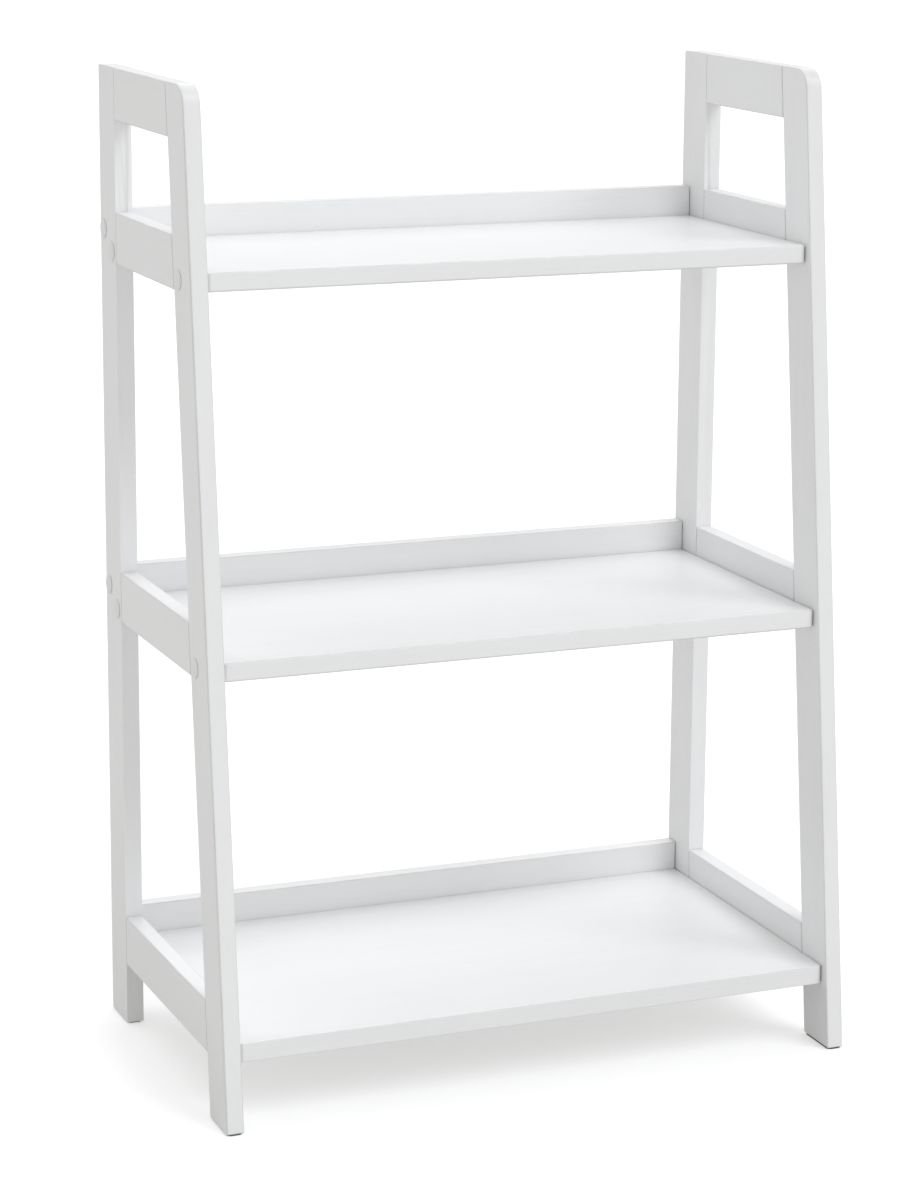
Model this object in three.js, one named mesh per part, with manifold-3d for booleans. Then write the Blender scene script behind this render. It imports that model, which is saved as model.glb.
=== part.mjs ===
// A three-shelf ladder shelf in white lacquered board, in millimetres, +Z up.
// The origin is the middle of its footprint on the floor: +X to the right, the front faces -Y.
//
// Two side frames carry everything. Each one has an upright rear leg and a front leg that leans
// outwards towards the floor, joined by a tall top rail and three shelf rails with stub tenons.
// Three shelves run between the side frames, each with a lipped back board behind it. The upper
// two levels are held by connector screws through the legs, under round cover caps. The lowest
// level hangs on cam fittings and dowels that nothing shows from outside.

import * as THREE from 'three';
import { mergeVertices } from 'three/addons/utils/BufferGeometryUtils.js';
import Module from 'manifold-3d';

const wasm = await Module();
wasm.setup();

// ---------------------------------------------------------------- driving dimensions

const width = 600;
const height = 894;
const depthAtFloor = 345;
const depthAtTop = 247;

const gap = 0.3; // between pieces that touch
const boreClearance = 0.3; // on the radius, round a pin or a screw
const overrun = 1; // of a hole's cutter past its mouth, and of a blind hole past its pin
const cornerSegments = 10; // facets round an outline's corner
const pinSides = 16; // facets round a pin or a hole
const fittingSides = 12; // facets round a screw or a cam bolt
const discSides = 20; // facets round a cap or a cam

const legThickness = 16;
const legWidth = 47;
const rearTopRadius = 2.5;
const frontTopRadius = 20;

const railHeight = 47;
const railRise = 28; // of a shelf rail above its shelf's top

const tenon = { thickness: 6, length: 22, height: 19, belowRailTop: 7 };

const shelfThickness = 17;
const lowestShelfTop = 77.5;
const aboveUpperShelf = 156.5; // from the upper shelf's top to the top of the side frames
const levelNames = ['lower', 'middle', 'upper'];
const shelfSetback = 6; // of a shelf's front edge behind the leg's front edge
const shelfEndGap = 0.5; // between a shelf or back board and the side frame
const shelfCornerRadius = 4.5;

const backThickness = 16;
const backRise = 28; // of a back board above its shelf's top
const backSetback = 1.2; // of its rear face in front of the legs' rear faces

const screw = {
  headRadius: 5,
  headHeight: 3,
  headChamfer: 0.5,
  shankRadius: 3.5,
  shankLength: 18,
  threadRadius: 2.5,
  length: 46,
  socketRadius: 2,
  socketDepth: 2,
};
const screwHeadSeat = 5; // depth of the seat below the leg's outer face
const counterboreRadius = 6;
const shelfScrewInset = 13.5; // of a shelf screw from the leg's edge beside the rail
const backScrewRise = 9.5; // of a back board's screw above the shelf's top

const cap = { radius: 9, rim: 0.3, crown: 0.9, stemLength: 1.6 };

const glide = { thickness: 1.2, inset: 1, cornerRadius: 4, pegRadius: 3, pegLength: 14 };

const cam = { radius: 7.5, depth: 12, fromEnd: 24, slotWidth: 1.2, slotDepth: 1.5 };
const camBolt = { legRadius: 2.5, legLength: 10, radius: 3, intoCam: 5 };

const dowel = { radius: 4, legLength: 10, boardLength: 20 };

// ---------------------------------------------------------------- derived places

const rearFace = depthAtFloor / 2;
const legBottom = glide.thickness;
const lean = (depthAtFloor - depthAtTop) / (height - legBottom);
const frontLegDepth = legWidth * Math.hypot(1, lean); // measured level, along Y
const innerFace = width / 2 - legThickness;
const rearLegFront = rearFace - legWidth;

/** Y of the front leg's front edge at a height. */
function frontEdge(z) {
  return rearFace - depthAtTop - lean * (height - z);
}

/** Y of the front leg's rear edge, beside the rails, at a height. */
function frontLegRear(z) {
  return frontEdge(z) + frontLegDepth;
}

const shelfPitch = (height - aboveUpperShelf - lowestShelfTop) / (levelNames.length - 1);
const levels = levelNames.map((name, i) => (
  { name, top: lowestShelfTop + i * shelfPitch, screwed: i > 0 }
));

const rails = [
  ...levels.map((level) => ({ name: `${level.name}_rail`, top: level.top + railRise })),
  { name: 'top_rail', top: height },
];

const boardEnd = innerFace - shelfEndGap;
const backFront = rearFace - backSetback - backThickness;
const backMiddle = rearFace - backSetback - backThickness / 2;

// ---------------------------------------------------------------- materials

const lacquer = new THREE.MeshStandardMaterial({ color: 0xe9eaec, roughness: 0.38, metalness: 0 });
const capPlastic = new THREE.MeshStandardMaterial({ color: 0xdcdcda, roughness: 0.45, metalness: 0 });
const glidePlastic = new THREE.MeshStandardMaterial({ color: 0x2c2c2e, roughness: 0.6, metalness: 0 });
const zincSteel = new THREE.MeshStandardMaterial({ color: 0xb9bcc0, roughness: 0.35, metalness: 1 });
const beech = new THREE.MeshStandardMaterial({ color: 0xd2b48c, roughness: 0.7, metalness: 0 });

// ---------------------------------------------------------------- solids

/** A manifold solid of a closed three.js geometry. */
function solid(geometry) {
  const bare = geometry.clone();
  bare.deleteAttribute('normal');
  bare.deleteAttribute('uv');
  const merged = mergeVertices(bare, 1e-4);
  const mesh = new wasm.Mesh({
    numProp: 3,
    vertProperties: new Float32Array(merged.attributes.position.array),
    triVerts: new Uint32Array(merged.index.array),
  });
  return new wasm.Manifold(mesh);
}

/** The three.js geometry of a manifold solid. */
function geometryOf(manifold) {
  const mesh = manifold.getMesh();
  const geometry = new THREE.BufferGeometry();
  geometry.setAttribute('position', new THREE.BufferAttribute(new Float32Array(mesh.vertProperties), 3));
  geometry.setIndex(new THREE.BufferAttribute(new Uint32Array(mesh.triVerts), 1));
  geometry.computeVertexNormals();
  return geometry;
}

/** A body with other solids cut away from it. */
function cut(body, cutters) {
  return geometryOf(cutters.reduce((left, cutter) => left.subtract(solid(cutter)), solid(body)));
}

/** An outline in the side view (its x is Y, its y is Z) given a thickness along X, from x0 to x1. */
function sideSlab(shape, x0, x1) {
  const geometry = new THREE.ExtrudeGeometry(shape, {
    depth: x1 - x0,
    bevelEnabled: false,
    curveSegments: cornerSegments,
  });
  const sideView = new THREE.Matrix4().makeBasis(
    new THREE.Vector3(0, 1, 0),
    new THREE.Vector3(0, 0, 1),
    new THREE.Vector3(1, 0, 0),
  );
  return geometry.applyMatrix4(sideView).translate(x0, 0, 0);
}

/** An outline in plan given a thickness along Z, from z0 to z1. */
function planSlab(shape, z0, z1) {
  const geometry = new THREE.ExtrudeGeometry(shape, {
    depth: z1 - z0,
    bevelEnabled: false,
    curveSegments: cornerSegments,
  });
  return geometry.translate(0, 0, z0);
}

/** A closed outline through corners [x, y, radius], each with an arc where its radius isn't zero. */
function outline(corners) {
  const shape = new THREE.Shape();
  corners.forEach(([x, y, radius], i) => {
    const corner = new THREE.Vector2(x, y);
    const back = new THREE.Vector2(...corners.at(i - 1)).sub(corner).normalize();
    const ahead = new THREE.Vector2(...corners[(i + 1) % corners.length]).sub(corner).normalize();
    const halfAngle = Math.acos(back.dot(ahead)) / 2;
    const tangent = radius / Math.tan(halfAngle);
    const start = corner.clone().addScaledVector(back, tangent);
    const end = corner.clone().addScaledVector(ahead, tangent);
    if (i === 0) shape.moveTo(start.x, start.y);
    else shape.lineTo(start.x, start.y);
    if (radius > 0) {
      const centre = back.clone().add(ahead).setLength(radius / Math.sin(halfAngle)).add(corner);
      const from = start.sub(centre).angle();
      const to = end.sub(centre).angle();
      shape.absarc(centre.x, centre.y, radius, from, to, back.cross(ahead) > 0);
    }
  });
  shape.closePath();
  return shape;
}

/** A solid turned about the X axis at (y, z). The profile is [radius, distance inwards] pairs. */
function turned(profile, side, x, y, z, segments) {
  const points = profile.map(([radius, along]) => new THREE.Vector2(radius, along));
  const geometry = new THREE.LatheGeometry(points, segments);
  geometry.rotateZ(side * Math.PI / 2);
  return geometry.translate(side * x, y, z);
}

/** A plain pin along X between two distances from the middle of the shelf. */
function pinAlongX(radius, side, outer, inner, y, z) {
  const profile = [[0, 0], [radius, 0], [radius, outer - inner], [0, outer - inner]];
  return turned(profile, side, outer, y, z, pinSides);
}

/** A plain pin along Z. */
function pinAlongZ(radius, x, y, z0, z1, segments) {
  const geometry = new THREE.CylinderGeometry(radius, radius, z1 - z0, segments);
  return geometry.rotateX(Math.PI / 2).translate(x, y, (z0 + z1) / 2);
}

// ---------------------------------------------------------------- fixings

/** The places where connector screws pass through a leg into a shelf or a back board. */
function screwPlaces() {
  return levels.filter((level) => level.screwed).flatMap((level) => {
    const shelfMiddle = level.top - shelfThickness / 2;
    return [
      { name: `${level.name}_back`, leg: 'rear', into: 'back', level, y: backMiddle,
        z: level.top + backScrewRise },
      { name: `${level.name}_rear`, leg: 'rear', into: 'shelf', level, y: rearLegFront + shelfScrewInset,
        z: shelfMiddle },
      { name: `${level.name}_front`, leg: 'front', into: 'shelf', level,
        y: frontLegRear(shelfMiddle) - shelfScrewInset, z: shelfMiddle },
    ];
  });
}

/** The places where cam bolts hold a level that has no screws. */
function camPlaces() {
  return levels.filter((level) => !level.screwed).flatMap((level) => {
    const z = level.top - shelfThickness / 2;
    return [
      { name: `${level.name}_rear`, leg: 'rear', level, y: rearLegFront + shelfScrewInset, z },
      { name: `${level.name}_front`, leg: 'front', level, y: frontLegRear(z) - shelfScrewInset, z },
    ];
  });
}

/** The places where a dowel holds the back board of a level that has no screws. */
function dowelPlaces() {
  return levels.filter((level) => !level.screwed).map((level) => (
    { name: `${level.name}_back`, leg: 'rear', level, y: backMiddle, z: level.top + backScrewRise }
  ));
}

const headTop = width / 2 - screwHeadSeat + screw.headHeight; // x of the screw head's outer face

function screwGeometry(place, side) {
  return turned([
    [0, screw.socketDepth],
    [screw.socketRadius, screw.socketDepth],
    [screw.socketRadius, 0],
    [screw.headRadius - screw.headChamfer, 0],
    [screw.headRadius, screw.headChamfer],
    [screw.headRadius, screw.headHeight],
    [screw.shankRadius, screw.headHeight],
    [screw.shankRadius, screw.headHeight + screw.shankLength],
    [screw.threadRadius, screw.headHeight + screw.shankLength],
    [screw.threadRadius, screw.length - screw.threadRadius],
    [0, screw.length],
  ], side, headTop, place.y, place.z, fittingSides);
}

/** The clearance hole for a screw: counterbore, shank hole and thread bore in one cutter. */
function screwHole(place, side) {
  const seat = overrun + screwHeadSeat + gap;
  const shank = screw.shankRadius + boreClearance;
  const thread = screw.threadRadius + boreClearance;
  const shankEnd = seat + screw.shankLength + boreClearance;
  const end = overrun + screwHeadSeat - screw.headHeight + screw.length + overrun;
  return turned([
    [0, 0], [counterboreRadius, 0], [counterboreRadius, seat], [shank, seat],
    [shank, shankEnd], [thread, shankEnd], [thread, end], [0, end],
  ], side, width / 2 + overrun, place.y, place.z, pinSides);
}

function capGeometry(place, side) {
  const proud = cap.rim + cap.crown;
  const stemRadius = counterboreRadius - boreClearance;
  const dome = [0, 0.4, 0.75, 1].map((share) => (
    [cap.radius * Math.sin(share * Math.PI / 2), cap.crown * (1 - Math.cos(share * Math.PI / 2))]
  ));
  return turned([
    ...dome,
    [cap.radius, proud - gap],
    [stemRadius, proud - gap],
    [stemRadius, proud + cap.stemLength],
    [0, proud + cap.stemLength],
  ], side, width / 2 + proud, place.y, place.z, discSides);
}

function camBoltGeometry(place, side) {
  const length = camBolt.legLength + shelfEndGap + cam.fromEnd - cam.radius + camBolt.intoCam;
  return turned([
    [0, 0],
    [camBolt.legRadius, 0],
    [camBolt.legRadius, camBolt.legLength + gap],
    [camBolt.radius, camBolt.legLength + gap],
    [camBolt.radius, length],
    [0, length],
  ], side, innerFace + camBolt.legLength, place.y, place.z, fittingSides);
}

function camBoltLegHole(place, side) {
  const radius = camBolt.legRadius + boreClearance;
  const depth = camBolt.legLength + overrun;
  return pinAlongX(radius, side, innerFace + depth, innerFace - overrun, place.y, place.z);
}

function camBoltShelfHole(place, side) {
  const radius = camBolt.radius + boreClearance;
  return pinAlongX(radius, side, innerFace + overrun, boardEnd - cam.fromEnd, place.y, place.z);
}

function camPocket(place, side) {
  const bottom = place.level.top - shelfThickness;
  const x = side * (boardEnd - cam.fromEnd);
  const roof = bottom + cam.depth + gap;
  return pinAlongZ(cam.radius + boreClearance, x, place.y, bottom - overrun, roof, discSides);
}

/** A cam: a disc in the shelf's underside, bored from the side for the bolt, slotted below. */
function camGeometry(place, side) {
  const bottom = place.level.top - shelfThickness;
  const x = side * (boardEnd - cam.fromEnd);
  const disc = pinAlongZ(cam.radius, x, place.y, bottom + gap, bottom + cam.depth, discSides);
  const slot = new THREE.BoxGeometry(cam.radius, cam.slotWidth, 2 * cam.slotDepth);
  slot.translate(x, place.y, bottom);
  const boltEnd = boardEnd - cam.fromEnd + cam.radius - camBolt.intoCam - gap;
  const boltRadius = camBolt.radius + boreClearance;
  const boltBore = pinAlongX(boltRadius, side, boardEnd, boltEnd, place.y, place.z);
  return cut(disc, [slot, boltBore]);
}

function dowelGeometry(place, side) {
  const outer = innerFace + dowel.legLength;
  return pinAlongX(dowel.radius, side, outer, innerFace - dowel.boardLength, place.y, place.z);
}

function dowelHole(place, side) {
  const outer = innerFace + dowel.legLength + overrun;
  const inner = innerFace - dowel.boardLength - overrun;
  return pinAlongX(dowel.radius + boreClearance, side, outer, inner, place.y, place.z);
}

// ---------------------------------------------------------------- side frames

/** A rail's tenon as one strip that runs through the rail and into both legs. */
function tenonOutline(rail, clearance) {
  const top = rail.top - tenon.belowRailTop + clearance;
  const bottom = rail.top - tenon.belowRailTop - tenon.height - clearance;
  const rear = rearLegFront + tenon.length + clearance;
  const front = (z) => frontLegRear(z) - tenon.length - clearance;
  return outline([[rear, bottom, 0], [rear, top, 0], [front(top), top, 0], [front(bottom), bottom, 0]]);
}

function tenonSlab(rail, side, clearance) {
  const middle = side * (width / 2 - legThickness / 2);
  const half = tenon.thickness / 2 + clearance;
  return sideSlab(tenonOutline(rail, clearance), middle - half, middle + half);
}

function mortises(side) {
  return rails.map((rail) => tenonSlab(rail, side, gap));
}

/** X of the side frame's two faces, the smaller first. */
function frameFaces(side) {
  return [side * width / 2, side * innerFace].sort((a, b) => a - b);
}

function railGeometry(rail, side) {
  const bottom = rail.top - railHeight;
  const front = (z) => frontLegRear(z) + gap;
  const shape = outline([
    [rearLegFront - gap, bottom, 0],
    [rearLegFront - gap, rail.top, 0],
    [front(rail.top), rail.top, 0],
    [front(bottom), bottom, 0],
  ]);
  const body = solid(sideSlab(shape, ...frameFaces(side)));
  return geometryOf(body.add(solid(tenonSlab(rail, side, 0))));
}

/** The cutters for every fixing in one leg of a side frame. */
function fixingHoles(leg, side) {
  const inLeg = (place) => place.leg === leg;
  return [
    ...screwPlaces().filter(inLeg).map((place) => screwHole(place, side)),
    ...camPlaces().filter(inLeg).map((place) => camBoltLegHole(place, side)),
    ...dowelPlaces().filter(inLeg).map((place) => dowelHole(place, side)),
  ];
}

function pegPlace(leg) {
  return leg === 'rear' ? rearFace - legWidth / 2 : frontEdge(legBottom) + frontLegDepth / 2;
}

function pegHole(leg, side) {
  const x = side * (width / 2 - legThickness / 2);
  const top = legBottom + glide.pegLength + overrun;
  const radius = glide.pegRadius + boreClearance;
  return pinAlongZ(radius, x, pegPlace(leg), legBottom - overrun, top, pinSides);
}

function rearLegGeometry(side) {
  const shape = outline([
    [rearFace, legBottom, 0],
    [rearFace, height, rearTopRadius],
    [rearLegFront, height, 0],
    [rearLegFront, legBottom, 0],
  ]);
  const body = sideSlab(shape, ...frameFaces(side));
  return cut(body, [...mortises(side), ...fixingHoles('rear', side), pegHole('rear', side)]);
}

function frontLegGeometry(side) {
  const shape = outline([
    [frontLegRear(legBottom), legBottom, 0],
    [frontLegRear(height), height, 0],
    [frontEdge(height), height, frontTopRadius],
    [frontEdge(legBottom), legBottom, 0],
  ]);
  const body = sideSlab(shape, ...frameFaces(side));
  return cut(body, [...mortises(side), ...fixingHoles('front', side), pegHole('front', side)]);
}

/** A glide: a rounded pad under the leg with a peg up into the leg's end. */
function glideGeometry(leg, side) {
  const [x0, x1] = frameFaces(side);
  const middle = pegPlace(leg);
  const half = (leg === 'rear' ? legWidth : frontLegDepth) / 2 - glide.inset;
  const radius = glide.cornerRadius;
  const shape = outline([
    [x0 + glide.inset, middle - half, radius],
    [x1 - glide.inset, middle - half, radius],
    [x1 - glide.inset, middle + half, radius],
    [x0 + glide.inset, middle + half, radius],
  ]);
  const pad = solid(planSlab(shape, 0, legBottom - gap));
  const pegTop = legBottom + glide.pegLength;
  const peg = pinAlongZ(glide.pegRadius, (x0 + x1) / 2, middle, legBottom / 2, pegTop, pinSides);
  return geometryOf(pad.add(solid(peg)));
}

// ---------------------------------------------------------------- shelves and back boards

const sides = [{ name: 'left', side: -1 }, { name: 'right', side: 1 }];

function shelfGeometry(level) {
  const front = frontEdge(level.top) + shelfSetback;
  const rear = backFront - gap;
  const shape = outline([
    [-boardEnd, front, shelfCornerRadius],
    [boardEnd, front, shelfCornerRadius],
    [boardEnd, rear, 0],
    [-boardEnd, rear, 0],
  ]);
  const body = planSlab(shape, level.top - shelfThickness, level.top);
  const here = (place) => place.level === level;
  const cutters = sides.flatMap(({ side }) => [
    ...screwPlaces().filter((p) => here(p) && p.into === 'shelf').map((p) => screwHole(p, side)),
    ...camPlaces().filter(here).flatMap((p) => [camBoltShelfHole(p, side), camPocket(p, side)]),
  ]);
  return cut(body, cutters);
}

function backGeometry(level) {
  const sizeX = 2 * boardEnd;
  const sizeZ = shelfThickness + backRise;
  const middleZ = level.top - shelfThickness + sizeZ / 2;
  const body = new THREE.BoxGeometry(sizeX, backThickness, sizeZ).translate(0, backMiddle, middleZ);
  const here = (place) => place.level === level;
  const cutters = sides.flatMap(({ side }) => [
    ...screwPlaces().filter((p) => here(p) && p.into === 'back').map((p) => screwHole(p, side)),
    ...dowelPlaces().filter(here).map((p) => dowelHole(p, side)),
  ]);
  return cut(body, cutters);
}

// ---------------------------------------------------------------- assembly

const ladderShelf = new THREE.Group();

function addPiece(name, geometry, material) {
  const mesh = new THREE.Mesh(geometry, material);
  mesh.name = name;
  ladderShelf.add(mesh);
}

for (const { name: sideName, side } of sides) {
  addPiece(`${sideName}_rear_leg`, rearLegGeometry(side), lacquer);
  addPiece(`${sideName}_front_leg`, frontLegGeometry(side), lacquer);
  for (const rail of rails) {
    addPiece(`${sideName}_${rail.name}`, railGeometry(rail, side), lacquer);
  }
  for (const leg of ['rear', 'front']) {
    addPiece(`${sideName}_${leg}_glide`, glideGeometry(leg, side), glidePlastic);
  }
  for (const place of screwPlaces()) {
    addPiece(`${sideName}_${place.name}_screw`, screwGeometry(place, side), zincSteel);
    addPiece(`${sideName}_${place.name}_cap`, capGeometry(place, side), capPlastic);
  }
  for (const place of camPlaces()) {
    addPiece(`${sideName}_${place.name}_cam_bolt`, camBoltGeometry(place, side), zincSteel);
    addPiece(`${sideName}_${place.name}_cam`, camGeometry(place, side), zincSteel);
  }
  for (const place of dowelPlaces()) {
    addPiece(`${sideName}_${place.name}_dowel`, dowelGeometry(place, side), beech);
  }
}

for (const level of levels) {
  addPiece(`${level.name}_shelf`, shelfGeometry(level), lacquer);
  addPiece(`${level.name}_back_board`, backGeometry(level), lacquer);
}

export default ladderShelf;
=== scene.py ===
"""The looks of a white three-shelf ladder shelf, built round its CAD frame.

Every length is in metres. The front faces -Y, +X is to the right and the floor is Z = 0.
"""

import logging
import math
from dataclasses import dataclass
from enum import Enum
from typing import Any, Callable, Optional, Sequence, Union

import bmesh
import bpy
import numpy as np
from mathutils import Matrix, Vector

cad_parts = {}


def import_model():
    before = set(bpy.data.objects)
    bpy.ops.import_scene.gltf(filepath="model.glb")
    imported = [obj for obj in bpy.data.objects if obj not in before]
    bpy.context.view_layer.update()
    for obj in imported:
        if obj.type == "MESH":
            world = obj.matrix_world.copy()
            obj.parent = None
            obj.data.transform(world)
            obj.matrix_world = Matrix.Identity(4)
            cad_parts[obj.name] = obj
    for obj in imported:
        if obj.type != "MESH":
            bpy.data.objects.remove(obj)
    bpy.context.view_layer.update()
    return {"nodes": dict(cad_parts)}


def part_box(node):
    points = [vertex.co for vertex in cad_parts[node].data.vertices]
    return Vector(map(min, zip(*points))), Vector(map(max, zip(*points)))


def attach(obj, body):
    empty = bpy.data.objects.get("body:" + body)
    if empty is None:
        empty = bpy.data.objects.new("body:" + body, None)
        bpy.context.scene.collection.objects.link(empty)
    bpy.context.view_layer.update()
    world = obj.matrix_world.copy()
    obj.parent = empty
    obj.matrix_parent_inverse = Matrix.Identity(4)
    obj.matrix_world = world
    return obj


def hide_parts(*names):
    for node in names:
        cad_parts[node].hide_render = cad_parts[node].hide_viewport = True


LOG = logging.getLogger("ladder_shelf")
BODY = "root"
MM = 0.001
WELD = 0.002 * MM  # vertices closer than this are one vertex

Colour = tuple[float, float, float]
Number = Union[float, "Signal"]
Inputs = dict[Union[int, str], Any]


class Axis(Enum):
    """A direction of the object, which is also the direction that a board's grain follows."""

    X = 0
    Y = 1
    Z = 2

    @property
    def vector(self) -> Vector:
        """The axis as a unit vector."""
        return Vector([1.0 if i == self.value else 0.0 for i in range(3)])


class Side(Enum):
    """One of the two side frames, with the sign of its X."""

    LEFT = -1
    RIGHT = 1

    @property
    def label(self) -> str:
        """The side's name as the CAD nodes spell it."""
        return self.name.lower()


# ------------------------------------------------------------------ node graphs


@dataclass(frozen=True)
class Signal:
    """What one output socket carries. Arithmetic on it adds Math nodes.

    Attributes:
        graph: The node graph that the socket belongs to.
        socket: The output socket.
    """

    graph: "NodeGraph"
    socket: bpy.types.NodeSocket

    def _maths(self, operation: str, *values: Number) -> "Signal":
        """Adds a Math node.

        Args:
            operation: The node's operation.
            values: Its inputs in order.

        Returns:
            The node's result.
        """
        inputs = {i: value for i, value in enumerate(values)}
        return self.graph.add("ShaderNodeMath", {"operation": operation}, inputs)

    def __add__(self, other: Number) -> "Signal":
        """self + other."""
        return self._maths("ADD", self, other)

    __radd__ = __add__

    def __sub__(self, other: Number) -> "Signal":
        """self - other."""
        return self._maths("SUBTRACT", self, other)

    def __rsub__(self, other: Number) -> "Signal":
        """other - self."""
        return self._maths("SUBTRACT", other, self)

    def __mul__(self, other: Number) -> "Signal":
        """self * other."""
        return self._maths("MULTIPLY", self, other)

    __rmul__ = __mul__

    def __pow__(self, other: Number) -> "Signal":
        """self raised to other."""
        return self._maths("POWER", self, other)

    def size(self) -> "Signal":
        """The number without its sign."""
        return self._maths("ABSOLUTE", self)

    def sine(self) -> "Signal":
        """The sine of an angle."""
        return self._maths("SINE", self)

    def cosine(self) -> "Signal":
        """The cosine of an angle."""
        return self._maths("COSINE", self)

    def at_most(self, limit: Number) -> "Signal":
        """The smaller of the number and a limit."""
        return self._maths("MINIMUM", self, limit)

    def at_least(self, limit: Number) -> "Signal":
        """The larger of the number and a limit."""
        return self._maths("MAXIMUM", self, limit)

    def clamp(self) -> "Signal":
        """The number held between 0 and 1."""
        return self.at_least(0.0).at_most(1.0)


@dataclass(frozen=True)
class NoiseLayer:
    """How one layer of fractal noise looks.

    Attributes:
        scale: Cells per metre.
        detail: Octaves.
        roughness: How strong each further octave is.
    """

    scale: float
    detail: float = 2.0
    roughness: float = 0.5


class NodeGraph:
    """A node tree, built by expressions."""

    def __init__(self, tree: bpy.types.NodeTree) -> None:
        """Empties the tree.

        Args:
            tree: The node tree to build in.
        """
        self.tree = tree
        self.tree.nodes.clear()

    def add(
        self,
        kind: str,
        settings: Optional[dict[str, Any]] = None,
        inputs: Optional[Inputs] = None,
        output: Union[int, str] = 0,
    ) -> Signal:
        """Adds any node.

        Args:
            kind: The node's type.
            settings: Its properties, set first.
            inputs: Values or signals for its sockets, by name or number.
            output: The output to hand back.

        Returns:
            The chosen output.
        """
        node = self.tree.nodes.new(kind)
        for name, value in (settings or {}).items():
            setattr(node, name, value)
        for name, value in (inputs or {}).items():
            socket = node.inputs[name]
            if isinstance(value, Signal):
                self.tree.links.new(value.socket, socket)
            else:
                socket.default_value = value
        return Signal(self, node.outputs[output])

    def split(self, vector: Signal) -> tuple[Signal, Signal, Signal]:
        """Takes a vector apart.

        Args:
            vector: The vector.

        Returns:
            Its X, Y and Z.
        """
        whole = self.add("ShaderNodeSeparateXYZ", inputs={"Vector": vector})
        sockets = whole.socket.node.outputs
        return Signal(self, sockets["X"]), Signal(self, sockets["Y"]), Signal(self, sockets["Z"])


class ShaderGraph(NodeGraph):
    """A material's or the world's node graph."""

    def position(self, scale: tuple[float, float, float] = (1.0, 1.0, 1.0)) -> Signal:
        """Object coordinates, stretched.

        Args:
            scale: The factor along X, Y and Z.

        Returns:
            The coordinate as a vector.
        """
        coordinates = self.add("ShaderNodeTexCoord", output="Object")
        return self.add("ShaderNodeMapping", inputs={"Vector": coordinates, "Scale": scale})

    def noise(self, vector: Signal, layer: NoiseLayer) -> Signal:
        """Fractal noise between 0 and 1.

        Args:
            vector: Where to read it.
            layer: How it looks.

        Returns:
            The noise value.
        """
        inputs = {
            "Vector": vector,
            "Scale": layer.scale,
            "Detail": layer.detail,
            "Roughness": layer.roughness,
        }
        return self.add("ShaderNodeTexNoise", {"noise_dimensions": "3D"}, inputs)

    def blend(self, factor: Number, first: Any, second: Any) -> Signal:
        """A colour between two colours.

        Args:
            factor: 0 for the first, 1 for the second.
            first: A colour or a colour signal.
            second: A colour or a colour signal.

        Returns:
            The mixed colour.
        """
        pair = [c if isinstance(c, Signal) else (*c, 1.0) for c in (first, second)]
        settings = {"data_type": "RGBA", "clamp_factor": True}
        return self.add("ShaderNodeMix", settings, {0: factor, 6: pair[0], 7: pair[1]}, output=2)

    def bump(self, height: Signal, depth: float, normal: Optional[Signal] = None) -> Signal:
        """A surface normal from a height.

        Args:
            height: The height, between 0 and 1.
            depth: What 1 stands for, in metres.
            normal: A bump that lies under this one.

        Returns:
            The bumped normal.
        """
        inputs: Inputs = {"Height": height, "Distance": depth, "Strength": 1.0}
        if normal is not None:
            inputs["Normal"] = normal
        return self.add("ShaderNodeBump", inputs=inputs)

    def finish(self, shader: Signal, kind: str = "ShaderNodeOutputMaterial") -> None:
        """Sends a shader to the output.

        Args:
            shader: The shader's output.
            kind: The output node's type.
        """
        node = self.tree.nodes.new(kind)
        self.tree.links.new(shader.socket, node.inputs["Surface"])


def new_material(name: str) -> tuple[bpy.types.Material, ShaderGraph]:
    """Makes an empty node material.

    Args:
        name: The material's name.

    Returns:
        The material and its graph.
    """
    material = bpy.data.materials.new(name)
    material.use_nodes = True
    return material, ShaderGraph(material.node_tree)


# ------------------------------------------------------------------ finishes


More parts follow.
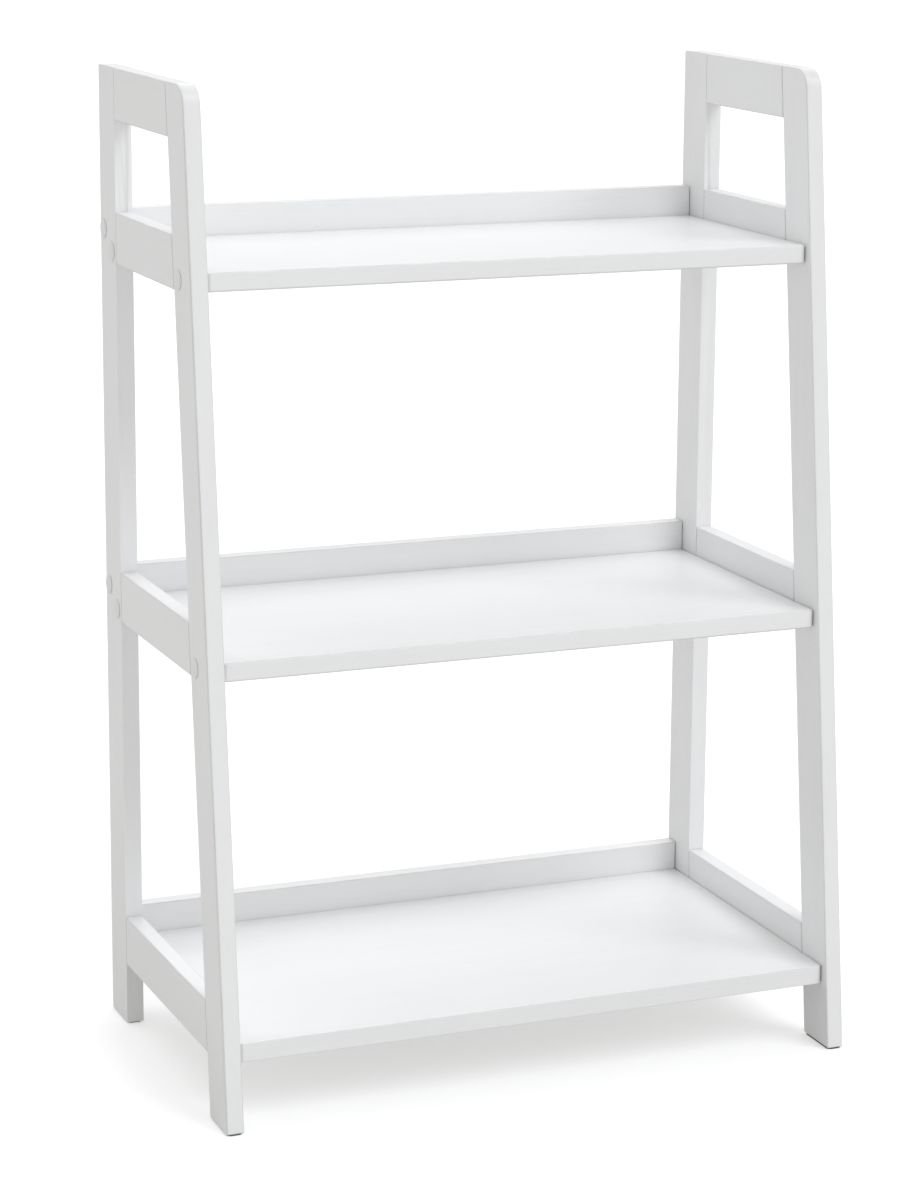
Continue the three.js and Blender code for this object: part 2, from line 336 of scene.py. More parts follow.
@dataclass(frozen=True)
class SatinLacquer:
    """White satin lacquer over wood, with the grain just showing through as relief.

    Attributes:
        grain: The direction that the board's grain follows.
        white: The lacquer's colour where it is thick.
        streak: Its colour along the grain's deeper lines, where it is thinner.
        worn: The painted shade on the arrises, a darker and warmer colour where the rounded edges
            turn between faces.
        roughness: The roughness of the smoothest places.
        roughness_range: How much rougher the dullest places are.
        worn_roughness: How much rougher an arris is where its painted shade is full.
        coat: The weight of the clear top coat.
        stretch: The scale of the grain along the board, against 1 across it.
        grain_contrast: How strongly the grain makes streaks.
        streak_share: How much streak there is where grain and cloud are at their mean.
        arris_gain: How quickly an edge's rounding counts as a full arris.
        edge_shade_contrast: How much the painted shade on an arris varies from place to place.
        least_edge_shade: The painted shade on an arris where it is smallest.
        most_edge_shade: The share of the shade colour on an arris whose painted shade is full.
        grain_relief: The depth of the grain.
        peel_relief: The depth of the lacquer's orange peel.
    """

    grain: Axis
    white: Colour = (0.886, 0.890, 0.896)
    streak: Colour = (0.845, 0.849, 0.853)
    worn: Colour = (0.72, 0.715, 0.70)
    roughness: float = 0.30
    roughness_range: float = 0.10
    worn_roughness: float = 0.15
    coat: float = 0.18
    stretch: float = 0.035
    grain_contrast: float = 2.1
    streak_share: float = 0.24
    arris_gain: float = 14.0
    edge_shade_contrast: float = 1.4
    least_edge_shade: float = 0.10
    most_edge_shade: float = 0.85
    grain_relief: float = 0.05 * MM
    peel_relief: float = 0.10 * MM

    def material(self) -> bpy.types.Material:
        """Builds the material.

        Returns:
            The lacquer for boards whose grain runs this way.
        """
        material, graph = new_material(f"satin_lacquer_{self.grain.name.lower()}")
        along_grain = [1.0, 1.0, 1.0]
        along_grain[self.grain.value] = self.stretch
        stretched = graph.position(tuple(along_grain))
        plain = graph.position()

        pores = graph.noise(stretched, NoiseLayer(scale=950.0, detail=3.0, roughness=0.62))
        bands = graph.noise(stretched, NoiseLayer(scale=110.0))
        grain = pores * 0.6 + bands * 0.4
        cloud = graph.noise(plain, NoiseLayer(scale=7.0))
        orange_peel = graph.noise(plain, NoiseLayer(scale=260.0))
        dust = graph.noise(plain, NoiseLayer(scale=1900.0, detail=1.0))
        patchy = graph.noise(plain, NoiseLayer(scale=38.0, detail=3.0))

        relief = (grain - 0.5) * self.grain_contrast + (cloud - 0.5)
        streaks = (relief + self.streak_share).clamp()
        # Painted shade: the arrises are darkened in patches towards a warmer grey, and are made a
        # little rougher there.
        arris = (self._arris(graph) * self.arris_gain).clamp()
        edge_shade = (arris * (patchy * self.edge_shade_contrast + self.least_edge_shade)).clamp() * self.most_edge_shade
        colour = graph.blend(streaks, self.white, self.streak)
        colour = graph.blend(edge_shade, colour, self.worn)
        dullness = (orange_peel * 0.5 + dust * 0.5) * self.roughness_range + self.roughness
        dullness = dullness + edge_shade * self.worn_roughness
        normal = graph.bump(grain, self.grain_relief)
        normal = graph.bump(orange_peel, self.peel_relief, normal)
        shader = graph.add(
            "ShaderNodeBsdfPrincipled",
            inputs={
                "Base Color": colour,
                "Roughness": dullness,
                "Normal": normal,
                "IOR": 1.5,
                "Coat Weight": self.coat,
                "Coat Roughness": 0.18,
            },
        )
        graph.finish(shader)
        return material

    @staticmethod
    def _arris(graph: ShaderGraph) -> Signal:
        """Finds the rounded edges, which face none of the board's own three directions.

        Args:
            graph: The material's graph.

        Returns:
            0 on the flats, rising to about 0.3 in the middle of a rounded edge.
        """
        facing = graph.add("ShaderNodeNewGeometry", output="Normal")
        across, along, upward = (part.size() for part in graph.split(facing))
        return 1.0 - across.at_least(along).at_least(upward)


@dataclass(frozen=True)
class MouldedPlastic:
    """Plain moulded plastic with a fine spark-eroded grain.

    Attributes:
        name: The material's name.
        colour: The plastic's colour.
        shade: The colour in its slightly darker patches.
        roughness: The roughness of the smoothest places.
        texture_depth: The height of the moulded grain, in metres.
        roughness_range: How much rougher the dullest places are.
    """

    name: str
    colour: Colour
    shade: Colour
    roughness: float
    texture_depth: float
    roughness_range: float = 0.15

    def material(self) -> bpy.types.Material:
        """Builds the material.

        Returns:
            The plastic.
        """
        material, graph = new_material(self.name)
        plain = graph.position()
        patches = graph.noise(plain, NoiseLayer(scale=60.0))
        sparks = graph.noise(plain, NoiseLayer(scale=2600.0))
        colour = graph.blend(patches, self.shade, self.colour)
        shader = graph.add(
            "ShaderNodeBsdfPrincipled",
            inputs={
                "Base Color": colour,
                "Roughness": sparks * self.roughness_range + self.roughness,
                "Normal": graph.bump(sparks, self.texture_depth),
                "IOR": 1.46,
            },
        )
        graph.finish(shader)
        return material


@dataclass(frozen=True)
class ZincSteel:
    """Bright zinc plating, a little cloudy.

    Attributes:
        bright: The colour of clean plating.
        dull: The colour of its cloudy patches.
        roughness: The roughness of the smoothest places.
        roughness_range: How much rougher the dullest places are.
        scratch_depth: The depth of its fine scratches.
    """

    bright: Colour = (0.64, 0.65, 0.67)
    dull: Colour = (0.50, 0.51, 0.53)
    roughness: float = 0.25
    roughness_range: float = 0.20
    scratch_depth: float = 0.01 * MM

    def material(self) -> bpy.types.Material:
        """Builds the material.

        Returns:
            The plated steel.
        """
        material, graph = new_material("zinc_steel")
        cloud = graph.noise(graph.position(), NoiseLayer(scale=140.0, detail=3.0))
        scratches = graph.noise(graph.position((1.0, 1.0, 14.0)), NoiseLayer(scale=700.0))
        shader = graph.add(
            "ShaderNodeBsdfPrincipled",
            inputs={
                "Base Color": graph.blend(cloud, self.dull, self.bright),
                "Metallic": 1.0,
                "Roughness": cloud * self.roughness_range + self.roughness,
                "Normal": graph.bump(scratches, self.scratch_depth),
            },
        )
        graph.finish(shader)
        return material


@dataclass(frozen=True)
class PlainBeech:
    """Unfinished turned beech, for the dowels.

    Attributes:
        light: The colour between the flecks.
        dark: The colour of the flecks.
        roughness: The roughness of the smoothest places.
        roughness_range: How much rougher the dullest places are.
        fibre_depth: The depth of its fibres.
    """

    light: Colour = (0.62, 0.45, 0.28)
    dark: Colour = (0.45, 0.30, 0.17)
    roughness: float = 0.55
    roughness_range: float = 0.20
    fibre_depth: float = 0.05 * MM

    def material(self) -> bpy.types.Material:
        """Builds the material.

        Returns:
            The beech.
        """
        material, graph = new_material("plain_beech")
        fibres = graph.noise(
            graph.position((0.06, 1.0, 1.0)), NoiseLayer(scale=1400.0, detail=3.0)
        )
        shader = graph.add(
            "ShaderNodeBsdfPrincipled",
            inputs={
                "Base Color": graph.blend(fibres, self.dark, self.light),
                "Roughness": fibres * self.roughness_range + self.roughness,
                "Normal": graph.bump(fibres, self.fibre_depth),
            },
        )
        graph.finish(shader)
        return material


@dataclass(frozen=True)
class Paintbox:
    """Every finish of the shelf, made once.

    Attributes:
        lacquer: The lacquer for each grain direction.
        cap_plastic: The cover caps' plastic.
        glide_plastic: The floor glides' plastic.
        steel: The hidden fittings' plating.
        beech: The dowels' wood.
    """

    lacquer: dict[Axis, bpy.types.Material]
    cap_plastic: bpy.types.Material
    glide_plastic: bpy.types.Material
    steel: bpy.types.Material
    beech: bpy.types.Material

    @classmethod
    def mixed(cls) -> "Paintbox":
        """Makes the materials."""
        cap = MouldedPlastic(
            name="cap_plastic",
            colour=(0.86, 0.86, 0.855),
            shade=(0.82, 0.82, 0.815),
            roughness=0.34,
            texture_depth=0.008 * MM,
        )
        glide = MouldedPlastic(
            name="glide_plastic",
            colour=(0.12, 0.12, 0.123),
            shade=(0.09, 0.09, 0.092),
            roughness=0.50,
            texture_depth=0.03 * MM,
        )
        return cls(
            lacquer={axis: SatinLacquer(axis).material() for axis in Axis},
            cap_plastic=cap.material(),
            glide_plastic=glide.material(),
            steel=ZincSteel().material(),
            beech=PlainBeech().material(),
        )


# ------------------------------------------------------------------ mesh helpers


def dress(piece: bpy.types.Object, material: bpy.types.Material) -> None:
    """Gives a piece one material.

    Args:
        piece: The piece.
        material: Its finish.
    """
    piece.data.materials.clear()
    piece.data.materials.append(material)


def new_piece(name: str, mesh: bpy.types.Mesh) -> bpy.types.Object:
    """Puts a mesh in the scene at the origin.

    Args:
        name: The piece's name.
        mesh: Its mesh.

    Returns:
        The piece.
    """
    piece = bpy.data.objects.new(name, mesh)
    bpy.context.scene.collection.objects.link(piece)
    return piece


def settle(piece: bpy.types.Object, nodes: Sequence[str]) -> None:
    """Puts a piece on the body in place of its CAD nodes.

    Args:
        piece: The finished piece.
        nodes: The CAD nodes that it stands for.
    """
    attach(piece, BODY)
    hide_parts(*nodes)
    faces = len(piece.data.polygons)
    LOG.info("%s: %d faces, stands for %d nodes", piece.name, faces, len(nodes))


@dataclass(frozen=True)
class EasedEdges:
    """Turns a CAD solid with sharp arrises into a sanded one.

    The outer edges are rounded over. Holes, pockets and tenons inside stay sharp.

    Attributes:
        thin: The direction of the board's thickness.
        radius: The rounding of the outer edges.
        end_radius: The smaller rounding of the edges at the board's two ends.
        end: The direction that points out of the board's ends, or None if all edges are alike.
        segments: Facets across a rounding.
        flat_angle: Faces that meet at less than this, in degrees, are one flat.
        arris_angle: Edges that turn by more than this, in degrees, are rounded.
        face_depth: How far a vertex may lie below a broad face and still be on it.
        skin_depth: How far the broad faces may stand in front of a face on the outline.
        end_facing: How squarely a face must look out of the board's end to count as one.
    """

    thin: Axis
    radius: float
    end_radius: float = 0.0
    end: Optional[Axis] = None
    segments: int = 4
    flat_angle: float = 0.5
    arris_angle: float = 28.0
    face_depth: float = 0.01 * MM
    skin_depth: float = 0.02 * MM
    end_facing: float = 0.9

    def sanded(self, name: str, node: bpy.types.Object) -> bpy.types.Object:
        """Makes the sanded copy.

        Args:
            name: The new piece's name.
            node: The CAD node to copy.

        Returns:
            The piece, with live bevel and normal modifiers.
        """
        body = bmesh.new()
        body.from_mesh(node.data)
        bmesh.ops.remove_doubles(body, verts=body.verts, dist=WELD)
        limit = math.radians(self.flat_angle)
        bmesh.ops.dissolve_limit(
            body, angle_limit=limit, verts=body.verts[:], edges=body.edges[:]
        )
        self._weigh(body)
        mesh = bpy.data.meshes.new(name)
        body.to_mesh(mesh)
        body.free()
        mesh.shade_smooth()
        piece = new_piece(name, mesh)
        self._add_modifiers(piece)
        return piece

    def _weigh(self, body: bmesh.types.BMesh) -> None:
        """Marks each edge with its share of the full rounding.

        Args:
            body: The merged solid.
        """
        weight = body.edges.layers.float.new("bevel_weight_edge")
        skin = self._skin(body)
        for edge in body.edges:
            if len(edge.link_faces) != 2 or not all(face in skin for face in edge.link_faces):
                continue
            if edge.calc_face_angle() < math.radians(self.arris_angle):
                continue
            edge[weight] = self._share(edge)

    def _skin(self, body: bmesh.types.BMesh) -> set[bmesh.types.BMFace]:
        """Finds the faces that lie on the outside of the board's outline.

        Args:
            body: The merged solid.

        Returns:
            The faces that have the whole of the board's two broad faces behind them.
        """
        axis = self.thin.value
        depths = [vert.co[axis] for vert in body.verts]
        low, high = min(depths), max(depths)
        below = [min(depth - low, high - depth) for depth in depths]
        points = np.array([v.co for v, d in zip(body.verts, below) if d < self.face_depth])
        skin = set()
        for face in body.faces:
            normal = np.array(face.normal)
            ahead = points @ normal - float(np.dot(normal, face.verts[0].co))
            if ahead.max() < self.skin_depth:
                skin.add(face)
        return skin

    def _share(self, edge: bmesh.types.BMEdge) -> float:
        """The rounding of one edge as a share of the full radius.

        Args:
            edge: An outer edge.

        Returns:
            1 for a full rounding, or less at the board's ends.
        """
        if self.end is None:
            return 1.0
        facing = max(abs(face.normal[self.end.value]) for face in edge.link_faces)
        return self.end_radius / self.radius if facing > self.end_facing else 1.0

    def _add_modifiers(self, piece: bpy.types.Object) -> None:
        """Adds the rounding and the smoothing.

        Args:
            piece: The piece.
        """
        bevel = piece.modifiers.new("sanding", "BEVEL")
        bevel.limit_method = "WEIGHT"
        bevel.width = self.radius
        bevel.segments = self.segments
        bevel.use_clamp_overlap = True
        normals = piece.modifiers.new("flat_faces", "WEIGHTED_NORMAL")
        normals.keep_sharp = True
        normals.weight = 100


# ------------------------------------------------------------------ side frames and boards


@dataclass
class SideFrame:
    """One side frame: an upright rear leg, a leaning front leg and four rails.

    Attributes:
        side: Which side it is.
        leg_edge: The rounding of the legs' edges.
        rail_edge: The rounding of the rails' long edges.
        shoulder_edge: The rounding of the rails' ends, which meet the legs in a fine groove.
        rails: The rails' names.
    """

    side: Side
    leg_edge: float = 1.7 * MM
    rail_edge: float = 1.7 * MM
    shoulder_edge: float = 1.1 * MM
    rails: tuple[str, ...] = ("lower_rail", "middle_rail", "upper_rail", "top_rail")

    def build(self, nodes: dict[str, bpy.types.Object], paint: Paintbox) -> None:
        """Makes the legs and rails.

        Args:
            nodes: The CAD nodes by name.
            paint: The finishes.
        """
        for leg in ("rear_leg", "front_leg"):
            edges = EasedEdges(thin=Axis.X, radius=self.leg_edge)
            self._board(f"{self.side.label}_{leg}", edges, paint.lacquer[Axis.Z], nodes)
        for rail in self.rails:
            edges = EasedEdges(
                thin=Axis.X, radius=self.rail_edge, end_radius=self.shoulder_edge, end=Axis.Y
            )
            self._board(f"{self.side.label}_{rail}", edges, paint.lacquer[Axis.Y], nodes)

    @staticmethod
    def _board(
        node: str, edges: EasedEdges, finish: bpy.types.Material, nodes: dict[str, bpy.types.Object]
    ) -> None:
        """Makes one sanded and lacquered piece.

        Args:
            node: The CAD node's name.
            edges: How its edges are rounded.
            finish: Its lacquer.
            nodes: The CAD nodes by name.
        """
        piece = edges.sanded(f"{node}_wood", nodes[node])
        dress(piece, finish)
        settle(piece, [node])


@dataclass
class ShelfLevel:
    """One shelf and the back board behind it.

    Attributes:
        name: The level's name.
        shelf_edge: The rounding of the shelf's edges.
        board_edge: The rounding of the back board's edges.
    """

    name: str
    shelf_edge: float = 2.0 * MM
    board_edge: float = 1.5 * MM

    def build(self, nodes: dict[str, bpy.types.Object], paint: Paintbox) -> None:
        """Makes the shelf and its back board.

        Args:
            nodes: The CAD nodes by name.
            paint: The finishes.
        """
        parts = (
            ("shelf", EasedEdges(thin=Axis.Z, radius=self.shelf_edge)),
            ("back_board", EasedEdges(thin=Axis.Y, radius=self.board_edge)),
        )
        for part, edges in parts:
            node = f"{self.name}_{part}"
            piece = edges.sanded(f"{node}_wood", nodes[node])
            dress(piece, paint.lacquer[Axis.X])
            settle(piece, [node])


# ------------------------------------------------------------------ repeated fittings


class TurnedPartGraph(NodeGraph):
    """A Geometry Nodes tree that puts one turned part at every point, facing out of the surface.

    The part is a profile turned round Z. The carrier's points hold their direction in an
    attribute named "facing".
    """

    CREASE = math.radians(38)  # edges that turn by more than this stay sharp

    def __init__(self, name: str) -> None:
        """Makes a tree with points coming in and parts going out.

        Args:
            name: The tree's name.
        """
        super().__init__(bpy.data.node_groups.new(name, "GeometryNodeTree"))
        sockets = self.tree.interface
        sockets.new_socket("Points", in_out="INPUT", socket_type="NodeSocketGeometry")
        sockets.new_socket("Parts", in_out="OUTPUT", socket_type="NodeSocketGeometry")
        self.entry = self.tree.nodes.new("NodeGroupInput")
        self.exit = self.tree.nodes.new("NodeGroupOutput")
        self.sizes: dict[str, float] = {}

    def size(self, name: str, value: float) -> Signal:
        """Adds a named size.

        Args:
            name: The size's name.
            value: Its value, in metres.

        Returns:
            The size, to reckon with.
        """
        item = self.tree.interface.new_socket(name, in_out="INPUT", socket_type="NodeSocketFloat")
        self.sizes[item.identifier] = value
        return Signal(self, self.entry.outputs[name])

    def turned(
        self, rows: int, sides: int, profile: Callable[[Signal], tuple[Signal, Signal]]
    ) -> Signal:
        """Turns a profile round Z.

        Args:
            rows: Points along the profile, which starts and ends on the axis.
            sides: Facets round the axis.
            profile: Gives the radius and height at a row number.

        Returns:
            The part's geometry.
        """
        sheet = self.add(
            "GeometryNodeMeshGrid",
            inputs={"Size X": 1.0, "Size Y": 1.0, "Vertices X": sides + 1, "Vertices Y": rows},
        )
        across, along, _ = self.split(self.add("GeometryNodeInputPosition"))
        angle = (0.5 - across) * math.tau
        radius, height = profile((along + 0.5) * (rows - 1))
        place = self.add(
            "ShaderNodeCombineXYZ",
            inputs={"X": radius * angle.cosine(), "Y": radius * angle.sine(), "Z": height},
        )
        rolled = self.add("GeometryNodeSetPosition", inputs={"Geometry": sheet, "Position": place})
        ends = {"Geometry": rolled, "Distance": WELD}
        return self.add("GeometryNodeMergeByDistance", inputs=ends)

    def finish(self, part: Signal, material: bpy.types.Material) -> None:
        """Ends the tree: the part at every point, realized, with its material.

        Args:
            part: The part's geometry, facing +Z.
            material: Its finish.
        """
        facing = self.add(
            "GeometryNodeInputNamedAttribute", {"data_type": "FLOAT_VECTOR"}, {"Name": "facing"}
        )
        turn = self.add("FunctionNodeAlignRotationToVector", {"axis": "Z"}, {"Vector": facing})
        points = Signal(self, self.entry.outputs["Points"])
        placed = self.add(
            "GeometryNodeInstanceOnPoints",
            inputs={"Points": points, "Instance": part, "Rotation": turn},
        )
        real = self.add("GeometryNodeRealizeInstances", inputs={"Geometry": placed})
        dressed = self.add(
            "GeometryNodeSetMaterial", inputs={"Geometry": real, "Material": material}
        )
        self.tree.links.new(dressed.socket, self.exit.inputs["Parts"])

    def placed(self, name: str, points: Sequence["FacingPoint"]) -> bpy.types.Object:
        """Runs the tree on some points and keeps the result as a plain mesh.

        Args:
            name: The piece's name.
            points: Where the parts go.

        Returns:
            The finished piece.
        """
        seeds = bpy.data.meshes.new(f"{name}_points")
        seeds.from_pydata([point.place for point in points], [], [])
        facing = seeds.attributes.new("facing", "FLOAT_VECTOR", "POINT")
        for datum, point in zip(facing.data, points):
            datum.vector = point.facing
        carrier = new_piece(f"{name}_carrier", seeds)
        modifier = carrier.modifiers.new("parts", "NODES")
        modifier.node_group = self.tree
        for identifier, value in self.sizes.items():
            modifier[identifier] = value
        carrier.update_tag()
        bpy.context.view_layer.update()
        evaluated = carrier.evaluated_get(bpy.context.evaluated_depsgraph_get())
        mesh = bpy.data.meshes.new_from_object(evaluated)
        carrier.modifiers.remove(modifier)
        bpy.data.objects.remove(carrier)
        mesh.name = name
        mesh.shade_smooth()
        mesh.set_sharp_from_angle(angle=self.CREASE)
        return new_piece(name, mesh)


@dataclass(frozen=True)
class FacingPoint:
    """A place on the shelf and the way it faces.

    Attributes:
        place: The point.
        facing: The direction out of the surface.
    """

    place: Vector
    facing: Vector


@dataclass
class CoverCaps:
    """The round caps over the connector screws.

    Attributes:
        crown: How far the cap's middle stands above its rim.
        edge_power: How squarely the crown turns down at its edge: 1 is an ellipse, 0 a box.
        dome_rows: Rings across the crown.
        sides: Facets round the cap.
        stem_radius: The radius of the plug in the counterbore.
        stem_rows: Rows from the rim to the middle of the plug's end.
    """

    crown: float = 1.0 * MM
    edge_power: float = 0.62
    dome_rows: int = 14
    sides: int = 48
    stem_radius: float = 5.7 * MM
    stem_rows: int = 3

    def build(self, nodes: dict[str, bpy.types.Object], paint: Paintbox) -> None:
        """Makes the caps as one mesh.

        Args:
            nodes: The CAD nodes by name.
            paint: The finishes.
        """
        names = sorted(name for name in nodes if name.endswith("_cap"))
        spots = [self._spot(name) for name in names]
        low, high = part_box(names[0])
        radius = (high.z - low.z) / 2
        stem = high.x - low.x - self.crown
        graph = TurnedPartGraph("cover_cap_shape")
        sizes = [
            graph.size("Radius", radius),
            graph.size("Crown", self.crown),
            graph.size("Stem radius", self.stem_radius),
            graph.size("Stem length", stem),
        ]
        rows = self.dome_rows + 1 + self.stem_rows
        part = graph.turned(rows, self.sides, lambda row: self._profile(row, *sizes))
        graph.finish(part, paint.cap_plastic)
        piece = graph.placed("cover_caps", spots)
        settle(piece, names)

    def _spot(self, name: str) -> FacingPoint:
        """Where a cap's underside meets its leg.

        Args:
            name: The cap's CAD node.

        Returns:
            The middle of the cap's rim plane, facing out of the leg.
        """
        low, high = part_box(name)
        middle = (low + high) / 2
        sign = math.copysign(1.0, middle.x)
        outer = max(abs(low.x), abs(high.x))
        place = Vector((sign * (outer - self.crown), middle.y, middle.z))
        return FacingPoint(place, Vector((sign, 0.0, 0.0)))

    def _profile(
        self, row: Signal, radius: Signal, crown: Signal, stem_radius: Signal, stem: Signal
    ) -> tuple[Signal, Signal]:
        """The cap's outline, from the middle of its crown round to the end of its stem.

        Args:
            row: The row number.
            radius: The cap's radius.
            crown: Its height.
            stem_radius: Its stem's radius.
            stem: Its stem's length.

        Returns:
            The radius and height at the row.
        """
        last = self.dome_rows
        turn = (row * (math.pi / 2 / last)).at_most(math.pi / 2)
        step_in, step_down, close = [(row - (last + i)).clamp() for i in range(self.stem_rows)]
        across = radius * turn.sine() ** self.edge_power
        height = crown * turn.cosine().at_least(0.0) ** self.edge_power
        return (
            across - step_in * (radius - stem_radius) - close * stem_radius,
            height - step_down * stem,
        )


@dataclass
class FloorGlides:
    """The plastic pads under the four legs.

    Attributes:
        edge: The rounding of a pad's rim.
    """

    edge: float = 0.3 * MM

    def build(self, nodes: dict[str, bpy.types.Object], paint: Paintbox) -> None:
        """Makes each pad with a rounded rim.

        Args:
            nodes: The CAD nodes by name.
            paint: The finishes.
        """
        rim = EasedEdges(thin=Axis.Z, radius=self.edge)
        for name in sorted(name for name in nodes if name.endswith("_glide")):
            piece = rim.sanded(f"{name}_pad", nodes[name])
            dress(piece, paint.glide_plastic)
            settle(piece, [name])


@dataclass
class HiddenFittings:
    """The fittings inside the boards, which keep their CAD shape."""

    def build(self, nodes: dict[str, bpy.types.Object], paint: Paintbox) -> None:
        """Dresses the screws, cams, cam bolts and dowels.

        Args:
            nodes: The CAD nodes by name.
            paint: The finishes.
        """
        for name, node in sorted(nodes.items()):
            if name.endswith(("_screw", "_cam", "_cam_bolt")):
                dress(node, paint.steel)
            elif name.endswith("_dowel"):
                dress(node, paint.beech)
            else:
                continue
            LOG.info("%s: CAD shape, dressed", name)


# ------------------------------------------------------------------ studio


@dataclass(frozen=True)
class DistantSoftbox:
    """A big soft light so far off that it lights the whole shelf evenly.

    Attributes:
        name: The light's name.
        azimuth: Degrees from the front, to the right.
        elevation: Degrees above the horizon.
        spread: How wide it looks from the shelf, in degrees.
        strength: How strongly it lights a surface that faces it.
        colour: Its colour.
    """

    name: str
    azimuth: float
    elevation: float
    spread: float
    strength: float
    colour: Colour = (1.0, 1.0, 1.0)

    def build(self) -> None:
        """Adds the light."""
        light = bpy.data.lights.new(self.name, "SUN")
        light.angle = math.radians(self.spread)
        light.energy = self.strength
        light.color = self.colour
        lamp = bpy.data.objects.new(self.name, light)
        bpy.context.scene.collection.objects.link(lamp)
        around, above = math.radians(self.azimuth), math.radians(self.elevation)
        level = math.cos(above)
        towards = Vector((math.sin(around) * level, -math.cos(around) * level, math.sin(above)))
        lamp.rotation_euler = (-towards).to_track_quat("-Z", "Y").to_euler()


@dataclass(frozen=True)
class LightTable:
    """A white floor that glows a little, as a lit product table does.

    Attributes:
        white: How much of the light it returns.
        glow: The light that it adds.
        tint: Its colour.
        speckle: The brightness of its darker specks, against 1 for the rest.
    """

    white: float
    glow: float
    tint: Colour = (1.0, 1.0, 1.0)
    speckle: float = 0.985

    def shader(self, graph: ShaderGraph) -> Signal:
        """Builds the table's surface.

        Args:
            graph: The material's graph.

        Returns:
            The shader.
        """
        specks = graph.noise(graph.position(), NoiseLayer(scale=40.0))
        light = tuple(channel * self.white for channel in self.tint)
        dark = tuple(channel * self.white * self.speckle for channel in self.tint)
        return graph.add(
            "ShaderNodeBsdfPrincipled",
            inputs={
                "Base Color": graph.blend(specks, dark, light),
                "Roughness": 1.0,
                "Specular IOR Level": 0.0,
                "Emission Color": (*self.tint, 1.0),
                "Emission Strength": self.glow,
            },
        )


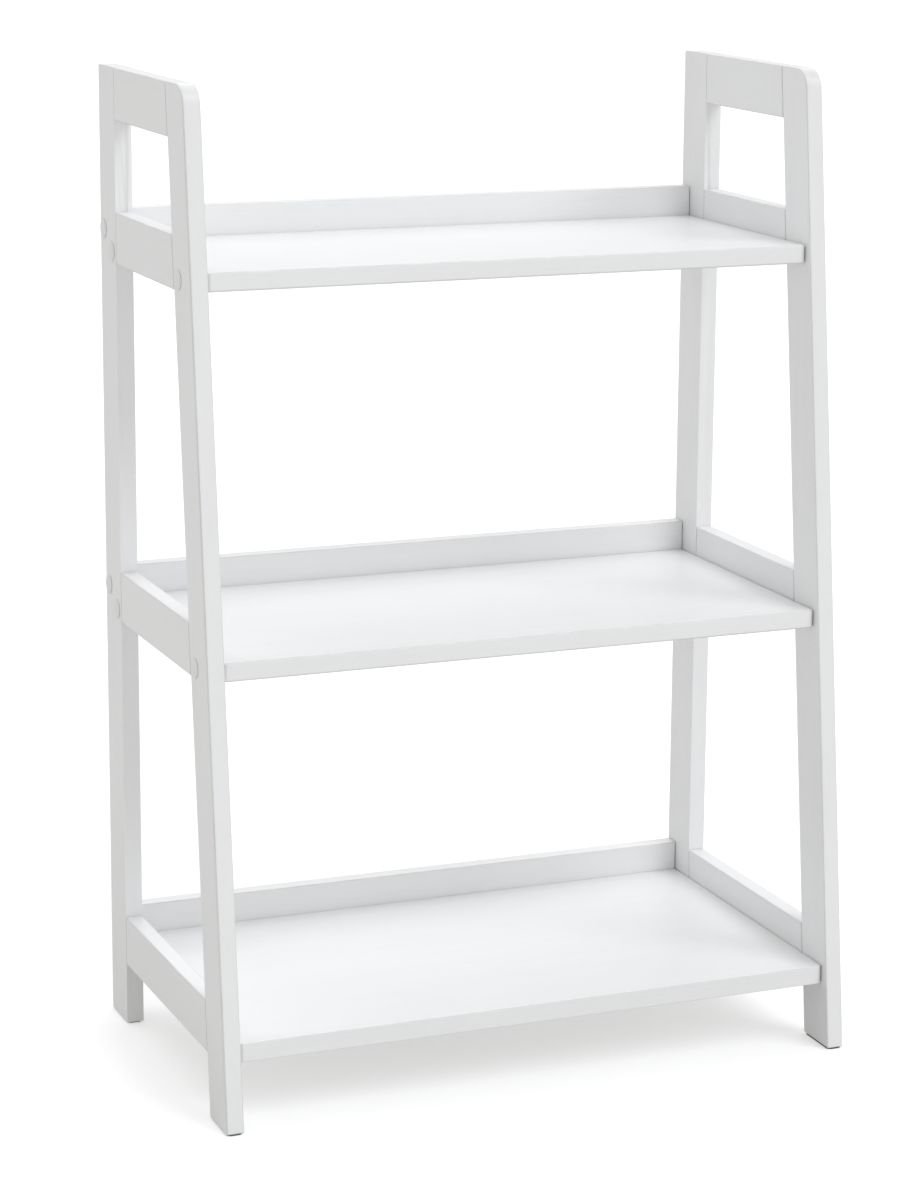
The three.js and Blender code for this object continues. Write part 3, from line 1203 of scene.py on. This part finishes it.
@dataclass
class Studio:
    """A lit white table and soft light from all round, strongest from the front right.

    Attributes:
        floor_size: The floor's width.
        ambient: The light from all round.
        seen_floor: The table as the camera sees it, which is bright enough to lose its edge.
        lighting_floor: The table as it lights the shelf, dimmer and a little warmer.
        lights: The softboxes.
    """

    floor_size: float = 160.0
    ambient: float = 0.64
    seen_floor: LightTable = LightTable(white=0.76, glow=0.40)
    lighting_floor: LightTable = LightTable(white=0.50, glow=0.19, tint=(1.0, 0.985, 0.965))
    lights: tuple[DistantSoftbox, ...] = (
        DistantSoftbox(
            name="key",
            azimuth=34.0,
            elevation=45.0,
            spread=36.0,
            strength=1.10,
            colour=(0.95, 0.975, 1.0),
        ),
        DistantSoftbox(
            name="rear_fill", azimuth=180.0, elevation=50.0, spread=70.0, strength=0.92
        ),
    )

    def build(self) -> None:
        """Makes the floor, the world and the lights."""
        half = self.floor_size / 2
        corners = [(-half, -half, 0), (half, -half, 0), (half, half, 0), (-half, half, 0)]
        mesh = bpy.data.meshes.new("floor")
        mesh.from_pydata(corners, [], [(0, 1, 2, 3)])
        floor = new_piece("floor", mesh)
        dress(floor, self._floor_finish())
        self._world()
        for light in self.lights:
            light.build()
        LOG.info("studio: floor, world and %d softboxes", len(self.lights))

    def _floor_finish(self) -> bpy.types.Material:
        """Makes the table's material."""
        material, graph = new_material("light_table")
        seen = self.seen_floor.shader(graph)
        lighting = self.lighting_floor.shader(graph)
        to_camera = graph.add("ShaderNodeLightPath", output="Is Camera Ray")
        graph.finish(graph.add("ShaderNodeMixShader", inputs={0: to_camera, 1: lighting, 2: seen}))
        return material

    def _world(self) -> None:
        """Makes the world: plain white to the camera, soft light to everything else."""
        world = bpy.data.worlds.new("studio_world")
        bpy.context.scene.world = world
        world.use_nodes = True
        graph = ShaderGraph(world.node_tree)
        white = (1.0, 1.0, 1.0, 1.0)
        backdrop = graph.add("ShaderNodeBackground", inputs={"Color": white, "Strength": 1.0})
        soft = graph.add("ShaderNodeBackground", inputs={"Color": white, "Strength": self.ambient})
        to_camera = graph.add("ShaderNodeLightPath", output="Is Camera Ray")
        shader = graph.add("ShaderNodeMixShader", inputs={0: to_camera, 1: soft, 2: backdrop})
        graph.finish(shader, "ShaderNodeOutputWorld")


@dataclass(frozen=True)
class StudioCamera:
    """The camera, low in front of the shelf and to its left.

    Attributes:
        azimuth: Degrees from the front, to the right.
        elevation: Degrees above the horizon.
        roll: Degrees of lean to the left.
        target: What it looks at.
        distance: From the target.
        lens: The focal length in millimetres on a 36 mm frame.
        shift: The lens shift along the frame's width and height.
        farthest: How far it sees, in metres.
    """

    azimuth: float = -22.053
    elevation: float = 12.485
    roll: float = 0.383
    target: tuple[float, float, float] = (-0.0172, 0.0225, 0.4538)
    distance: float = 3.0961
    lens: float = 101.43
    shift: tuple[float, float] = (0.0, -0.0392)
    farthest: float = 200.0

    def build(self) -> None:
        """Adds the camera and makes it the scene's own."""
        around, above, lean = (math.radians(a) for a in (self.azimuth, self.elevation, self.roll))
        level = math.cos(above)
        back = Vector((math.sin(around) * level, -math.cos(around) * level, math.sin(above)))
        right = Vector((math.cos(around), math.sin(around), 0.0))
        turn = Matrix.Rotation(lean, 3, back)
        right = turn @ right
        up = back.cross(right)
        data = bpy.data.cameras.new("studio_camera")
        data.lens = self.lens
        data.shift_x, data.shift_y = self.shift
        data.clip_end = self.farthest
        camera = bpy.data.objects.new("studio_camera", data)
        bpy.context.scene.collection.objects.link(camera)
        pose = Matrix((right, up, back)).transposed().to_4x4()
        pose.translation = Vector(self.target) + back * self.distance
        camera.matrix_world = pose
        bpy.context.scene.camera = camera


# ------------------------------------------------------------------ the shelf


def main() -> None:
    """Builds the shelf, its studio and the camera."""
    logging.basicConfig(level=logging.INFO, format="%(name)s: %(message)s")
    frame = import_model()
    nodes = frame["nodes"]
    bpy.context.scene.view_settings.view_transform = "Standard"

    StudioCamera().build()
    Studio().build()
    paint = Paintbox.mixed()
    for side in Side:
        SideFrame(side).build(nodes, paint)
    for level in ("lower", "middle", "upper"):
        ShelfLevel(level).build(nodes, paint)
    CoverCaps().build(nodes, paint)
    FloorGlides().build(nodes, paint)
    HiddenFittings().build(nodes, paint)


if __name__ == "__main__":
    main()
